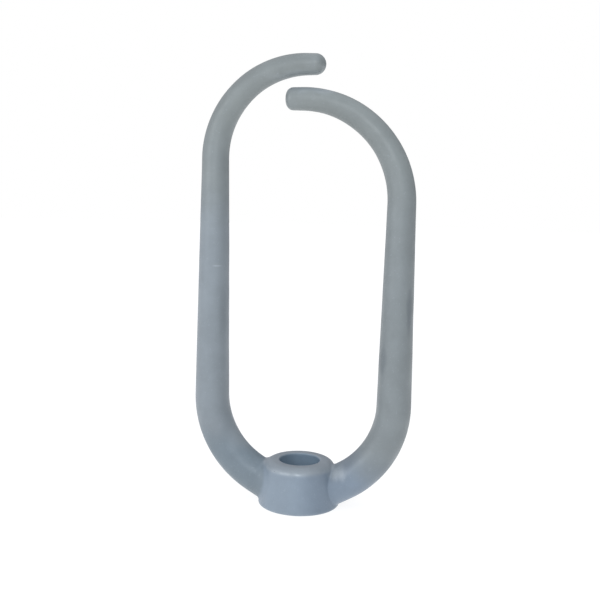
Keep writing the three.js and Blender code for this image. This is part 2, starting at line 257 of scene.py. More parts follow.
class NodeSheet:
    """Adds nodes to a tree and links them by plain calls."""

    def __init__(self, tree):
        self.tree = tree

    def add(self, kind, inputs=None, **options):
        node = self.tree.nodes.new(kind)
        for name, value in options.items():
            setattr(node, name, value)
        for name, value in (inputs or {}).items():
            self.feed(node.inputs[name], value)
        return node

    def feed(self, socket, value):
        """Links a socket, or sets a number, a vector or a colour straight on it."""
        if isinstance(value, bpy.types.NodeSocket):
            self.tree.links.new(value, socket)
        elif socket.type == "RGBA":
            socket.default_value = (*value, 1.0)
        else:
            socket.default_value = value

    def math(self, operation, first, second=0.0, clamp=False):
        node = self.add("ShaderNodeMath", {0: first, 1: second}, operation=operation, use_clamp=clamp)
        return node.outputs[0]

    def times(self, first, second):
        return self.math("MULTIPLY", first, second)

    def plus(self, first, second):
        return self.math("ADD", first, second)

    def minus(self, first, second):
        return self.math("SUBTRACT", first, second)

    def vector(self, operation, first, second=(0, 0, 0)):
        node = self.add("ShaderNodeVectorMath", {0: first, 1: second}, operation=operation)
        return node.outputs["Value" if operation in ("LENGTH", "DOT_PRODUCT") else "Vector"]

    def stretched(self, vector, scale):
        inputs = {0: vector, "Scale": scale}
        return self.add("ShaderNodeVectorMath", inputs, operation="SCALE").outputs["Vector"]

    def noise(self, vector, scale, detail=3.0, roughness=0.5, distortion=0.0):
        inputs = {"Vector": vector, "Scale": scale, "Detail": detail, "Roughness": roughness,
                  "Distortion": distortion}
        return self.add("ShaderNodeTexNoise", inputs).outputs["Fac"]

    def spread(self, value, low, high, to_low=0.0, to_high=1.0):
        """A smooth change from one number to another as the value goes from low to high."""
        inputs = {"Value": value, "From Min": low, "From Max": high, "To Min": to_low, "To Max": to_high}
        return self.add("ShaderNodeMapRange", inputs, interpolation_type="SMOOTHSTEP").outputs["Result"]

    def mix(self, factor, first, second, blend="MIX"):
        node = self.add("ShaderNodeMix", {"Factor": factor}, data_type="RGBA", blend_type=blend)
        # Sockets 6 and 7 and output 2 are the node's colours.
        self.feed(node.inputs[6], first)
        self.feed(node.inputs[7], second)
        return node.outputs[2]

    def brightened(self, colour, factor):
        grey = self.add("ShaderNodeCombineColor", {"Red": factor, "Green": factor, "Blue": factor})
        return self.mix(1.0, colour, grey.outputs["Color"], "MULTIPLY")

    def scaled(self, vector, scale):
        return self.add("ShaderNodeMapping", {"Vector": vector, "Scale": scale}).outputs["Vector"]

    def bump(self, height, distance, strength=1.0, below=None):
        inputs = {"Height": height, "Distance": distance, "Strength": strength}
        if below is not None:
            inputs["Normal"] = below
        return self.add("ShaderNodeBump", inputs).outputs["Normal"]

    def wear_and_sheen(self):
        return self.add("ShaderNodeAttribute", attribute_name="wear_and_sheen").outputs["Fac"]


def empty_material(name):
    material = bpy.data.materials.new(name)
    material.use_nodes = True
    material.node_tree.nodes.clear()
    return material, NodeSheet(material.node_tree)


def new_material(name):
    material, sheet = empty_material(name)
    shader = sheet.add("ShaderNodeBsdfPrincipled")
    sheet.add("ShaderNodeOutputMaterial", {"Surface": shader.outputs["BSDF"]})
    place = sheet.add("ShaderNodeTexCoord").outputs["Object"]
    return material, sheet, shader, place


# Finishes

def hub_tones(sheet, finish, across, height, from_axis):
    """Colours of the hub: its two sides, the right one a darker copy that is painted shade, the ring on top,
    painted lighter where light falls from above, and the bore's wall, a bluer tone painted to match its
    shade.
    """
    tone = sheet.mix(sheet.spread(across, *HUB_SIDES_MEET), finish.cast_hub, finish.right_side_shade)
    tone = sheet.mix(sheet.spread(height, *HUB_TOP_STARTS), tone, finish.top_ring_light)
    return sheet.mix(sheet.spread(from_axis, *BORE_ENDS), finish.bore_shade_tone, tone)


def arm_tones(sheet, finish, place, across, height):
    """Colours of the arms: their roots, their uprights and the crown, with drifting borders; the long arm's
    root and the crown carry painted shade, and the bends painted light and shade.
    """
    drift = sheet.minus(sheet.noise(place, 16.0, 2.0, 0.5, 0.4), 0.5)
    lifted = sheet.plus(height, sheet.times(drift, 80 * MM))
    long_tone = sheet.mix(sheet.spread(lifted, *LONG_ROOT_ENDS), finish.root_tone_and_shade, finish.cast_long)
    # The short arm's root starts in the painted shade of the hub's right side
    short_tone = sheet.mix(sheet.spread(lifted, *SHORT_ROOT_ENDS), finish.right_side_shade, finish.cast_short)
    tone = sheet.mix(sheet.spread(across, *ARMS_MEET), long_tone, short_tone)
    tone = sheet.mix(sheet.spread(lifted, *CROWN_TONE_STARTS), tone, finish.crown_tone_and_shade)
    return sheet.brightened(tone, bend_side_light_and_shade(sheet, place, across, height))


def bend_side_light_and_shade(sheet, place, across, height):
    """How much lighter and darker the bends are painted, by which way the surface faces: painted light
    and shade, the left ones lighter on their inner side, the rest of the crown on its outer side."""
    inward = sheet.vector("NORMALIZE", sheet.vector("SUBTRACT", LOOP_CENTRE, place))
    normal = sheet.add("ShaderNodeTexCoord").outputs["Normal"]
    facing_in = sheet.vector("DOT_PRODUCT", inward, normal)
    in_crown = sheet.spread(height, *CROWN_STARTS)
    lower_bend = sheet.times(sheet.spread(height, *LOWER_BEND_ENDS, 1.0, 0.0),
                             sheet.spread(across, *LOWER_BEND_SIDE, 1.0, 0.0))
    left_crown = sheet.times(in_crown, sheet.spread(across, *CROWN_LEFT_ENDS, 0.5, 0.0))
    right_crown = sheet.times(in_crown, sheet.spread(across, *CROWN_RIGHT_STARTS))
    inner = sheet.times(sheet.plus(lower_bend, left_crown),
                        sheet.spread(facing_in, 0.05, 0.95, -0.10, 0.24))
    outer = sheet.times(right_crown, sheet.spread(facing_in, -0.9, 0.0, 0.22, -0.05))
    return sheet.plus(sheet.plus(inner, outer), 1.0)


def marked(sheet, finish, place, colour):
    """The colour with broken smudges all over and the few larger marks, three of them painted light."""
    rubbed = sheet.noise(sheet.scaled(place, (1.0, 1.0, 0.35)), 60.0, 6.0, 0.62, 0.6)
    colour = sheet.mix(sheet.spread(rubbed, 0.62, 0.80, 0.0, 0.22), colour, finish.smudge)
    ragged = sheet.times(sheet.minus(rubbed, 0.5), 1.6)
    for tone, centre, reach, strength in MARKS:
        offset = sheet.vector("DIVIDE", sheet.vector("SUBTRACT", place, centre), reach)
        away = sheet.plus(sheet.vector("LENGTH", offset), ragged)
        colour = sheet.mix(sheet.spread(away, 0.3, 1.0, strength, 0.0), colour, getattr(finish, tone))
    return colour


def cast_skin():
    """Satin skin of a blasted light-alloy casting, with drifting tone, faint marks and polished edges;
    painted light and shade sit in its zone tones, its bends, a few marks and the hub's rim highlight.
    """
    if "cast_skin" in bpy.data.materials:
        return bpy.data.materials["cast_skin"]
    finish = bpy.context.scene.paddle_finish
    hub = bpy.context.scene.paddle_hub
    material, sheet, shader, place = new_material("cast_skin")
    parts = sheet.add("ShaderNodeSeparateXYZ", {"Vector": place})
    across, height = parts.outputs["X"], parts.outputs["Z"]
    from_axis = sheet.vector("LENGTH", sheet.vector("MULTIPLY", place, (1, 1, 0)))

    taper = (hub.base_radius - hub.top_radius) / hub.height
    beyond_cone = sheet.plus(from_axis, sheet.times(height, taper))
    past_hub = sheet.spread(beyond_cone, *(hub.base_radius + gap for gap in OFF_THE_CONE))
    past_hub = sheet.math("MAXIMUM", past_hub, sheet.spread(height, *ABOVE_HUB))
    colour = sheet.mix(past_hub, hub_tones(sheet, finish, across, height, from_axis),
                       arm_tones(sheet, finish, place, across, height))
    cloud = sheet.spread(sheet.noise(place, 46.0, 5.0, 0.6), 0.3, 0.7, 0.93, 1.07)
    colour = marked(sheet, finish, place, sheet.brightened(colour, cloud))
    fleck = sheet.spread(sheet.noise(place, 900.0, 2.0, 0.5), 0.62, 0.75, 0.0, 0.22)
    colour = sheet.mix(fleck, colour, finish.worn_and_painted_light)
    broken = sheet.spread(sheet.noise(place, 210.0, 4.0, 0.6), 0.35, 0.62)
    coverage = sheet.plus(sheet.times(broken, 0.6), 0.4)
    # The wear attribute lightens polished edges; on the hub's rim its band is also a painted highlight
    polish_and_sheen = sheet.math("MULTIPLY", sheet.wear_and_sheen(), coverage, True)
    colour = sheet.mix(sheet.times(polish_and_sheen, 0.65), colour, finish.worn_and_painted_light)
    sheet.feed(shader.inputs["Base Color"], colour)

    streak = sheet.noise(sheet.scaled(place, (1.0, 1.0, 0.05)), 700.0, 3.0, 0.6)
    rough = sheet.spread(sheet.noise(place, 75.0, 4.0, 0.6), 0.3, 0.7, 0.40, 0.52)
    rough = sheet.plus(rough, sheet.times(sheet.minus(streak, 0.5), 0.10))
    rough = sheet.math("SUBTRACT", rough, sheet.times(polish_and_sheen, 0.20), True)
    sheet.feed(shader.inputs["Roughness"], rough)
    shader.inputs["Metallic"].default_value = 0.15
    shader.inputs["Specular IOR Level"].default_value = 0.5

    swell = sheet.bump(sheet.noise(place, 95.0, 3.0, 0.5), 0.45 * MM, 0.35)
    grain = sheet.bump(sheet.noise(place, 1500.0, 3.0, 0.6), 0.06 * MM, 0.5, swell)
    pit = sheet.spread(sheet.noise(place, 520.0, 2.0, 0.5), 0.66, 0.74, 1.0, 0.0)
    pitted = sheet.bump(pit, 0.05 * MM, 0.4, grain)
    sheet.feed(shader.inputs["Normal"], sheet.bump(streak, 0.02 * MM, 0.35, pitted))
    return material


def turned_steel():
    """Bare turned steel: fine rings round the drive axis and faint stains."""
    finish = bpy.context.scene.paddle_finish
    material, sheet, shader, place = new_material("turned_steel")
    inputs = {"Vector": place, "Scale": 900.0, "Distortion": 1.2, "Detail": 2.0, "Detail Scale": 0.4}
    rings = sheet.add("ShaderNodeTexWave", inputs, wave_type="BANDS", bands_direction="Z").outputs["Fac"]
    inputs = {"Vector": place, "Scale": 600.0, "Distortion": 0.6}
    circles = sheet.add("ShaderNodeTexWave", inputs, wave_type="RINGS", rings_direction="Z").outputs["Fac"]
    stain = sheet.spread(sheet.noise(place, 190.0, 5.0, 0.62), 0.45, 0.75, 0.0, 0.5)
    stained = [0.55 * part for part in finish.steel]
    colour = sheet.mix(stain, finish.steel, stained)
    sheet.feed(shader.inputs["Base Color"], colour)
    rough = sheet.plus(0.26, sheet.times(rings, 0.10))
    sheet.feed(shader.inputs["Roughness"], sheet.plus(rough, sheet.times(stain, 0.3)))
    shader.inputs["Metallic"].default_value = 1.0
    turning = sheet.bump(rings, 0.01 * MM, 0.5)
    sheet.feed(shader.inputs["Normal"], sheet.bump(circles, 0.01 * MM, 0.4, turning))
    return material


def blackened_steel():
    """Blackened screw steel, rubbed bright on the thread's crests."""
    finish = bpy.context.scene.paddle_finish
    material, sheet, shader, place = new_material("blackened_steel")
    broken = sheet.spread(sheet.noise(place, 700.0, 4.0, 0.6), 0.4, 0.65)
    rubbed = sheet.math("MULTIPLY", sheet.wear_and_sheen(), broken, True)
    colour = sheet.mix(sheet.times(rubbed, 0.6), finish.blackened, finish.steel)
    sheet.feed(shader.inputs["Base Color"], colour)
    rough = sheet.spread(sheet.noise(place, 900.0, 3.0, 0.5), 0.3, 0.7, 0.32, 0.48)
    sheet.feed(shader.inputs["Roughness"], rough)
    shader.inputs["Metallic"].default_value = 0.85
    sheet.feed(shader.inputs["Normal"], sheet.bump(sheet.noise(place, 2500.0, 2.0), 0.01 * MM, 0.4))
    return material


def studio_floor():
    """Softly lit white floor with a faint shadow, open from below."""
    stage = bpy.context.scene.paddle_stage
    material, sheet = empty_material("studio_floor")
    matt = sheet.add("ShaderNodeBsdfDiffuse", {"Color": (0.22, 0.22, 0.22)})
    lit = sheet.add("ShaderNodeEmission", {"Color": (1, 1, 1), "Strength": 0.86})
    seen = sheet.add("ShaderNodeAddShader", {0: matt.outputs[0], 1: lit.outputs[0]})
    glow = sheet.add("ShaderNodeEmission", {"Color": stage.floor_glow})
    seen_directly = sheet.add("ShaderNodeLightPath").outputs["Is Camera Ray"]
    above = sheet.add("ShaderNodeMixShader", {"Fac": seen_directly, 1: glow.outputs[0], 2: seen.outputs[0]})
    clear = sheet.add("ShaderNodeBsdfTransparent")
    back = sheet.add("ShaderNodeNewGeometry").outputs["Backfacing"]
    both = sheet.add("ShaderNodeMixShader", {"Fac": back, 1: above.outputs[0], 2: clear.outputs[0]})
    sheet.add("ShaderNodeOutputMaterial", {"Surface": both.outputs[0]})
    return material


def studio_surroundings():
    """White surroundings whose soft light has its own colour and strength for each side."""
    stage = bpy.context.scene.paddle_stage
    world = bpy.data.worlds.new("studio_surroundings")
    world.use_nodes = True
    sheet = NodeSheet(world.node_tree)
    direction = sheet.add("ShaderNodeTexCoord").outputs["Generated"]
    parts = sheet.add("ShaderNodeSeparateXYZ", {"Vector": direction})
    sides = [
        ("X", -1.0, stage.light_left), ("X", 1.0, stage.light_right), ("Y", -1.0, stage.light_front),
        ("Y", 1.0, stage.light_back), ("Z", 1.0, stage.light_top),
    ]
    total = None
    for axis, sign, colour in sides:
        share = sheet.math("MAXIMUM", sheet.times(parts.outputs[axis], sign), 0.0)
        light = sheet.stretched(tuple(colour), sheet.times(share, share))
        total = light if total is None else sheet.vector("ADD", total, light)
    seen_directly = sheet.add("ShaderNodeLightPath").outputs["Is Camera Ray"]
    colour = sheet.mix(seen_directly, total, (1, 1, 1))
    sheet.feed(world.node_tree.nodes["Background"].inputs["Color"], colour)
    return world


# Mesh helpers

def new_object(name, mesh):
    piece = bpy.data.objects.new(name, mesh)
    bpy.context.scene.collection.objects.link(piece)
    return piece


def mesh_from(bm, name):
    bmesh.ops.recalc_face_normals(bm, faces=bm.faces)
    mesh = bpy.data.meshes.new(name)
    bm.to_mesh(mesh)
    bm.free()
    return mesh


def rounded_outline(corners, steps=10):
    """Outline of (radius, height) points from corners (radius, height, round), each round one an arc."""
    points = []
    for index, (radius, height, round_radius) in enumerate(corners):
        corner = Vector((radius, height))
        if round_radius == 0:
            points.append(corner)
            continue
        before = (Vector(corners[index - 1][:2]) - corner).normalized()
        after = (Vector(corners[(index + 1) % len(corners)][:2]) - corner).normalized()
        half = math.acos(max(-1.0, min(1.0, before.dot(after)))) / 2
        centre = corner + (before + after).normalized() * (round_radius / math.sin(half))
        start = corner + before * (round_radius / math.tan(half)) - centre
        end = corner + after * (round_radius / math.tan(half)) - centre
        turn = start.angle_signed(end)
        points += [centre + Matrix.Rotation(-turn * step / steps, 2) @ start for step in range(steps + 1)]
    return points


def divided(points, longest):
    """The closed outline with its straight stretches split, so that none is longer than that."""
    out = []
    for index, point in enumerate(points):
        following = points[(index + 1) % len(points)]
        pieces = max(1, math.ceil((following - point).length / longest))
        out += [point.lerp(following, part / pieces) for part in range(pieces)]
    return out


def closed_round(bm, sections):
    """Faces between each closed section and the next one, all the way round."""
    for number, section in enumerate(sections):
        following = sections[(number + 1) % len(sections)]
        for index in range(len(section)):
            ahead = (index + 1) % len(section)
            bm.faces.new((section[index], following[index], following[ahead], section[ahead]))


def turned_ring(outline, sides):
    """Closed outline turned round the Z axis."""
    bm = bmesh.new()
    sections = []
    for side in range(sides):
        angle = 2 * math.pi * side / sides
        sections.append([bm.verts.new((p.x * math.cos(angle), p.x * math.sin(angle), p.y)) for p in outline])
    closed_round(bm, sections)
    return bm


def drilled(mesh, name, cutters):
    """The mesh with each cutter taken away, as a new mesh."""
    body = new_object(name + "_uncut", mesh)
    helpers = []
    for index, cutter_mesh in enumerate(cutters):
        cutter = new_object(f"{name}_cutter_{index}", cutter_mesh)
        modifier = body.modifiers.new("cut", "BOOLEAN")
        modifier.operation = "DIFFERENCE"
        modifier.solver = "EXACT"
        modifier.object = cutter
        helpers.append(cutter)
    result = evaluated_mesh(body, name)
    for helper in [body, *helpers]:
        bpy.data.objects.remove(helper)
    return result


def evaluated_mesh(piece, name):
    bpy.context.view_layer.update()
    depsgraph = bpy.context.evaluated_depsgraph_get()
    mesh = bpy.data.meshes.new_from_object(piece.evaluated_get(depsgraph))
    mesh.name = name
    return mesh


def bar_mesh(radius, start, end, sides, turn=0.0):
    """Straight bar between two points, as a cutter."""
    bm = bmesh.new()
    axis = end - start
    bmesh.ops.create_cone(bm, cap_ends=True, segments=sides, radius1=radius, radius2=radius,
                          depth=axis.length)
    bmesh.ops.rotate(bm, verts=bm.verts, cent=(0, 0, 0), matrix=Matrix.Rotation(turn, 3, "Z"))
    rotation = Vector((0, 0, 1)).rotation_difference(axis).to_matrix()
    bmesh.ops.rotate(bm, verts=bm.verts, cent=(0, 0, 0), matrix=rotation)
    bmesh.ops.translate(bm, verts=bm.verts, vec=(start + end) / 2)
    return mesh_from(bm, "bar_cutter")


def box_mesh(low, high):
    """Box between two corners, as a cutter."""
    bm = bmesh.new()
    bmesh.ops.create_cube(bm, size=1)
    bmesh.ops.scale(bm, verts=bm.verts, vec=high - low)
    bmesh.ops.translate(bm, verts=bm.verts, vec=(low + high) / 2)
    return mesh_from(bm, "box_cutter")


def store(mesh, name, value_at):
    """Gives the mesh a number at each point, worked out from the point's place."""
    attribute = mesh.attributes.new(name, "FLOAT", "POINT")
    for index, vertex in enumerate(mesh.vertices):
        attribute.data[index].value = value_at(vertex.co)


def smoothed(mesh, sharp_angle=math.radians(38)):
    mesh.shade_smooth()
    mesh.set_sharp_from_angle(angle=sharp_angle)


def finish_piece(name, mesh, material, body, slot, *nodes):
    """Puts a finished mesh in the scene as a piece that rides on a body and stands for CAD nodes."""
    mesh.materials.clear()
    mesh.materials.append(material)
    piece = new_object(name, mesh)
    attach(piece, body)
    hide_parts(*nodes)
    return piece


def falloff(distance, reach):
    return max(0.0, 1.0 - distance / reach)


# Hub shape

def cone_radius_at(z):
    hub = bpy.context.scene.paddle_hub
    return hub.base_radius + (hub.top_radius - hub.base_radius) * z / hub.height


def hub_radius_at(z):
    """Radius of the hub's outside at a height: the cone, and above it the rim's round."""
    hub = bpy.context.scene.paddle_hub
    taper = math.atan((hub.base_radius - hub.top_radius) / hub.height)
    rim_z = hub.height - hub.rim_round
    rise = z - rim_z
    if rise < hub.rim_round * math.sin(taper):
        return cone_radius_at(z)
    rim_radius = cone_radius_at(rim_z) - hub.rim_round / math.cos(taper)
    return rim_radius + math.sqrt(max(0.0, hub.rim_round ** 2 - rise ** 2))


def casting_swell(place, depth):
    """Slow unevenness of a cast surface at a point."""
    return depth * (noise.noise(place * 45) + 0.5 * noise.noise(place * 110))


# Arm lines

def arm_legs(arm, top, upper_bend, end_x):
    """Straight and bent stretches of an arm's centreline as (length, turn) pairs."""
    run = Vector((arm.reach - arm.root_start[0], arm.root_corner - arm.root_start[1]))
    slope = math.atan2(run.y, run.x)
    turn = math.pi / 2 - slope
    tangent = arm.lower_bend * math.tan(turn / 2)
    upright = top - upper_bend - arm.root_corner - tangent
    legs = [
        (run.length - tangent, 0.0),
        (arm.lower_bend * turn, turn),
        (upright, 0.0),
        (upper_bend * math.pi / 2, math.pi / 2),
        (arm.reach - upper_bend + end_x, 0.0),
    ]
    return slope, legs


class ArmLine:
    """Centreline of one arm: root, lower bend, upright, upper bend and end. side is -1 or 1 along X."""

    def __init__(self, side, top, upper_bend, end_x):
        self.arm = bpy.context.scene.paddle_arm
        self.side = side
        self.slope, self.legs = arm_legs(self.arm, top, upper_bend, end_x)
        self.length = sum(length for length, _ in self.legs)

    def at(self, distance):
        """Point and heading at a distance; past the end the line runs straight on."""
        x, z = self.arm.root_start
        heading, left = self.slope, distance
        for index, (length, turn) in enumerate(self.legs):
            last = index == len(self.legs) - 1
            run = left if last else min(left, length)
            bend = turn * run / length if length > 0 else 0.0
            chord = run if bend == 0 else 2 * run * math.sin(bend / 2) / bend
            x += chord * math.cos(heading + bend / 2)
            z += chord * math.sin(heading + bend / 2)
            heading += bend
            left -= run
        return x, z, heading

    def radius(self, distance):
        share = distance / self.length
        return self.arm.root_radius + (self.arm.tip_radius - self.arm.root_radius) * share

    def centre(self, distance):
        x, z, _ = self.at(distance)
        return Vector((self.side * x, 0, z))

    def surface(self, distance, angle, extra=0.0):
        """Point on the bar: angle 0 is the loop's inner side, a quarter turn is +Y."""
        x, z, heading = self.at(distance)
        radius = self.radius(distance) + extra
        inward = radius * math.cos(angle)
        return Vector((self.side * (x - inward * math.sin(heading)), radius * math.sin(angle),
                       z + inward * math.cos(heading)))


def long_line():
    arm = bpy.context.scene.paddle_arm
    return ArmLine(-1, long_high.z - arm.tip_radius, arm.long_bend, long_high.x - arm.tip_radius)


def short_line():
    arm = bpy.context.scene.paddle_arm
    return ArmLine(1, short_high.z - arm.tip_radius, arm.short_bend, -short_low.x - arm.tip_radius)


# Geometry node trees

class TreeSheet(NodeSheet):
    """A geometry node tree with named inputs."""

    def __init__(self, name, inputs):
        super().__init__(bpy.data.node_groups.new(name, "GeometryNodeTree"))
        faces = self.tree.interface
        faces.new_socket("Geometry", in_out="INPUT", socket_type="NodeSocketGeometry")
        for label, kind in inputs.items():
            faces.new_socket(label, in_out="INPUT", socket_type=kind)
        faces.new_socket("Geometry", in_out="OUTPUT", socket_type="NodeSocketGeometry")
        self.inlet = self.tree.nodes.new("NodeGroupInput")
        self.outlet = self.tree.nodes.new("NodeGroupOutput")

    def given(self, label):
        return self.inlet.outputs[label]

    def swept(self, line, radius, sides):
        """The line as a capped bar of that radius, which may change along it."""
        sized = self.add("GeometryNodeSetCurveRadius", {"Curve": line, "Radius": radius})
        section = self.add("GeometryNodeCurvePrimitiveCircle", {"Resolution": sides, "Radius": 1.0})
        own_radius = self.add("GeometryNodeInputRadius").outputs[0]
        inputs = {"Curve": sized.outputs[0], "Profile Curve": section.outputs[0], "Scale": own_radius,
                  "Fill Caps": True}
        return self.add("GeometryNodeCurveToMesh", inputs).outputs[0]

    def close(self, geometry):
        """Ends the tree with realized instances and the material."""
        real = self.add("GeometryNodeRealizeInstances", {"Geometry": geometry})
        inputs = {"Geometry": real.outputs[0], "Material": self.given("Material")}
        dressed = self.add("GeometryNodeSetMaterial", inputs)
        self.feed(self.outlet.inputs["Geometry"], dressed.outputs[0])


def run_tree(source, tree, values, name):
    """Runs a tree on a source object and returns the result as a plain mesh; the source goes."""
    modifier = source.modifiers.new("tree", "NODES")
    modifier.node_group = tree
    for item in tree.interface.items_tree:
        if item.item_type == "SOCKET" and item.in_out == "INPUT" and item.name in values:
            modifier[item.identifier] = values[item.name]
    mesh = evaluated_mesh(source, name)
    source.modifiers.clear()
    bpy.data.objects.remove(source)
    return mesh


def tapered_bar_tree():
    """A line becomes a tapered round bar with a rounded tip and the slow unevenness of a casting."""
    if "tapered_bar" in bpy.data.node_groups:
        return bpy.data.node_groups["tapered_bar"]
    decimal = "NodeSocketFloat"
    sheet = TreeSheet("tapered_bar", {
        "Root Radius": decimal, "Tip Radius": decimal, "Tip Round": decimal, "Tip Thinning": decimal,
        "Thinning Reach": decimal, "Waviness": decimal, "Wave Scale": decimal, "Sides": "NodeSocketInt",
        "Material": "NodeSocketMaterial"})
    along = sheet.add("GeometryNodeSplineParameter")
    whole = sheet.add("GeometryNodeSplineLength").outputs["Length"]
    inputs = {"Value": along.outputs["Factor"], "To Min": sheet.given("Root Radius"),
              "To Max": sheet.given("Tip Radius")}
    taper = sheet.add("ShaderNodeMapRange", inputs).outputs["Result"]
    from_tip = sheet.minus(whole, along.outputs["Length"])
    thinned = sheet.spread(from_tip, 0.0, sheet.given("Thinning Reach"), sheet.given("Tip Thinning"), 0.0)
    taper = sheet.minus(taper, thinned)
    # The tip's round is a quarter circle: share is 0 where it starts and 1 at the tip's pole.
    share = sheet.math("SUBTRACT", 1.0, sheet.math("DIVIDE", from_tip, sheet.given("Tip Round")), True)
    height_squared = sheet.math("SUBTRACT", 1.0, sheet.times(share, share), True)
    drop = sheet.minus(1.0, sheet.math("SQRT", height_squared))
    radius = sheet.minus(taper, sheet.times(drop, sheet.given("Tip Round")))
    smallest = 0.02 * MM
    bar = sheet.swept(sheet.given("Geometry"), sheet.math("MAXIMUM", radius, smallest), sheet.given("Sides"))
    place = sheet.add("GeometryNodeInputPosition").outputs[0]
    swell = sheet.noise(place, sheet.given("Wave Scale"), 1.5, 0.5)
    height = sheet.add("ShaderNodeSeparateXYZ", {"Vector": place}).outputs["Z"]
    above_root = sheet.spread(height, 25 * MM, 60 * MM)
    depth = sheet.times(sheet.minus(swell, 0.5), sheet.given("Waviness"))
    depth = sheet.times(depth, above_root)
    offset = sheet.stretched(sheet.add("GeometryNodeInputNormal").outputs[0], depth)
    moved = sheet.add("GeometryNodeSetPosition", {"Geometry": bar, "Offset": offset})
    sheet.close(moved.outputs[0])
    return sheet.tree


def screw_thread_tree():
    """A plain screw body gains a helical thread: a four-sided section swept up a spiral."""
    decimal = "NodeSocketFloat"
    sheet = TreeSheet("screw_thread", {
        "Core Radius": decimal, "Thread Height": decimal, "Pitch": decimal, "Threaded Length": decimal,
        "Start": decimal, "Material": "NodeSocketMaterial"})
    turns = sheet.math("DIVIDE", sheet.given("Threaded Length"), sheet.given("Pitch"))
    core = sheet.given("Core Radius")
    spiral = sheet.add("GeometryNodeCurveSpiral", {
        "Resolution": 40, "Rotations": turns, "Start Radius": core, "End Radius": core,
        "Height": sheet.given("Threaded Length"), "Reverse": False})
    level = sheet.add("GeometryNodeSetCurveNormal", {"Curve": spiral.outputs[0]}, mode="Z_UP")
    along = sheet.add("GeometryNodeSplineParameter").outputs["Factor"]
    lead = sheet.spread(along, 0.0, 0.06, 0.15, 1.0)
    run_out = sheet.spread(along, 0.94, 1.0, 1.0, 0.15)
    size = sheet.times(sheet.given("Thread Height"), sheet.times(lead, run_out))
    ridge = sheet.swept(level.outputs[0], size, 4)
    lift = sheet.add("ShaderNodeCombineXYZ", {"Z": sheet.given("Start")}).outputs[0]
    lifted = sheet.add("GeometryNodeTransform", {"Geometry": ridge, "Translation": lift})
    joined = sheet.add("GeometryNodeJoinGeometry")
    sheet.feed(joined.inputs[0], lifted.outputs[0])
    sheet.feed(joined.inputs[0], sheet.given("Geometry"))
    sheet.close(joined.outputs[0])
    return sheet.tree


# Pieces

class PADDLE_OT_hub(bpy.types.Operator):
    """Make the conical hub with its rounded rim, through bore, sleeve seat and screw hole"""
    bl_idname = "paddle.make_hub"
    bl_label = "Hub"

    def execute(self, context):
        hub = context.scene.paddle_hub
        lead_in = 0.6 * MM
        corners = [
            (hub.seat_radius + lead_in, 0, 0),
            (hub.base_radius, 0, hub.base_round),
            (hub.top_radius, hub.height, hub.rim_round),
            (hub.bore_radius, hub.height, hub.mouth_round),
            (hub.bore_radius, hub.seat_depth, 0),
            (hub.seat_radius, hub.seat_depth, 0),
            (hub.seat_radius, lead_in, 0),
        ]
        bm = turned_ring(divided(rounded_outline(corners), 1.2 * MM), 160)
        # Only the cast outside swells, not the bore, its mouth or the foot.
        skin_radius, foot_height, swell_depth = hub.bore_radius + 2.5 * MM, 1.5 * MM, 0.16 * MM
        for vertex in bm.verts:
            radial = Vector((vertex.co.x, vertex.co.y, 0))
            if radial.length > skin_radius and vertex.co.z > foot_height:
                vertex.co += radial.normalized() * casting_swell(vertex.co, swell_depth)
        hole = bar_mesh(hub.screw_hole_radius, Vector((0, OVERCUT, screw_height)),
                        Vector((0, hub.base_radius + 2 * OVERCUT, screw_height)), 48)
        mesh = drilled(mesh_from(bm, "hub"), "hub", [hole])
        # Handling polishes the rim, most of all on its left, the bore's mouth and the foot. On the rim the
        # lighter band is also a painted highlight, kept to the left where the light catches it.
        rim_z = hub.height - 0.6 * hub.rim_round
        rim_radius = hub_radius_at(rim_z)
        mouth_radius = hub.bore_radius + hub.mouth_round * 0.3

        def wear_and_sheen(place):
            radius = math.hypot(place.x, place.y)
            rim = math.hypot(radius - rim_radius, place.z - rim_z)
            mouth = math.hypot(radius - mouth_radius, place.z - hub.height)
            foot = math.hypot(radius - hub.base_radius, place.z)
            # Fades the rim's band towards the right, so the painted highlight stays on the lit left
            highlight_side = 1 - 0.6 * min(1, max(0, place.x / (10 * MM)))
            return max(highlight_side * falloff(rim, 1.9 * MM), 0.5 * falloff(mouth, 1.6 * MM),
                       0.6 * falloff(foot, 1.8 * MM))

        store(mesh, "wear_and_sheen", wear_and_sheen)
        smoothed(mesh)
        finish_piece("drive_hub", mesh, cast_skin(), PADDLE_BODY, "cast_metal", "hub")
        return {"FINISHED"}


def arm_spline(line, name, past_end):
    """Curve object along an arm, from inside the hub's wall to the tip, closer spaced near the tip."""
    start = line.arm.hidden_root
    end = line.length + past_end
    tip_zone = 8 * MM
    body_steps, tip_steps = 190, 28
    stations = [start + (end - tip_zone - start) * step / body_steps for step in range(body_steps)]
    quarter = math.pi / 2
    stations += [end - tip_zone * (1 - math.sin(quarter * step / tip_steps)) for step in range(tip_steps)]
    stations.append(end)
    curve = bpy.data.curves.new(name, "CURVE")
    curve.dimensions = "3D"
    spline = curve.splines.new("POLY")
    spline.points.add(len(stations) - 1)
    for point, distance in zip(spline.points, stations):
        point.co = (*line.centre(distance), 1.0)
    return new_object(name, curve)


